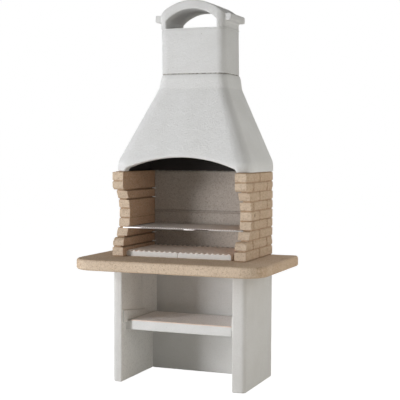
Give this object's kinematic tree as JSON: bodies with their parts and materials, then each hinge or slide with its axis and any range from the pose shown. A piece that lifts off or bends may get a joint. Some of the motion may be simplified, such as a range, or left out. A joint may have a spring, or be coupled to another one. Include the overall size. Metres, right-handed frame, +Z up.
{
  "type": "outdoor masonry barbecue",
  "caption": "Outdoor masonry barbecue: concrete base with a log shelf, overhanging worktop, brick-patterned pillars round a firebox, pull-out grill, tapered hood and capped chimney.",
  "frame": {"origin": "centre of the overall box in plan, on the floor", "axes": "+Z up towards the chimney, -Y out of the open front towards the cook, +X towards the right hand of a cook who faces the fire"},
  "size_m": [1.158, 0.727, 2.2401],
  "materials": {
    "white_concrete": "fine white cement render, matt, slightly grainy",
    "sand_concrete": "sand-coloured cast concrete, matt, mottled",
    "fire_concrete": "grey refractory concrete, matt, speckled",
    "hearth_concrete": "ribbed refractory concrete, matt",
    "mortar": "thin bed of mortar, rough",
    "chrome": "chromed steel rod, bright",
    "galvanised_steel": "zinc-coated sheet"
  },
  "bodies": {
    "masonry": {"left_side_panel": "white_concrete", "right_side_panel": "white_concrete", "back_panel": "white_concrete", "base_shelf": "white_concrete", "worktop": "sand_concrete", "left_pillar_lower": "sand_concrete", "left_pillar_upper": "sand_concrete", "right_pillar_lower": "sand_concrete", "right_pillar_upper": "sand_concrete", "lower_back_slab": "fire_concrete", "upper_back_slab": "fire_concrete", "left_hearth_slab": "hearth_concrete", "right_hearth_slab": "hearth_concrete", "left_slab_clip_1": "galvanised_steel", "left_slab_clip_2": "galvanised_steel", "left_slab_clip_3": "galvanised_steel", "left_slab_clip_4": "galvanised_steel", "right_slab_clip_1": "galvanised_steel", "right_slab_clip_2": "galvanised_steel", "right_slab_clip_3": "galvanised_steel", "right_slab_clip_4": "galvanised_steel", "hood": "white_concrete", "chimney_shaft": "white_concrete", "chimney_cap": "white_concrete", "left_panel_mortar": "mortar", "right_panel_mortar": "mortar", "back_panel_mortar": "mortar", "left_pillar_foot_mortar": "mortar", "left_pillar_waist_mortar": "mortar", "left_pillar_head_mortar": "mortar", "right_pillar_foot_mortar": "mortar", "right_pillar_waist_mortar": "mortar", "right_pillar_head_mortar": "mortar", "back_slab_foot_mortar": "mortar", "back_slab_waist_mortar": "mortar", "back_slab_head_mortar": "mortar", "shaft_mortar": "mortar", "cap_mortar": "mortar"},
    "grill": {"grill": "chrome"}
  },
  "joints": [
    {"name": "grill_slide", "type": "slide", "parent": "masonry", "child": "grill", "axis": [0, -1, 0], "range_m": [0, 0.25]}
  ]
}
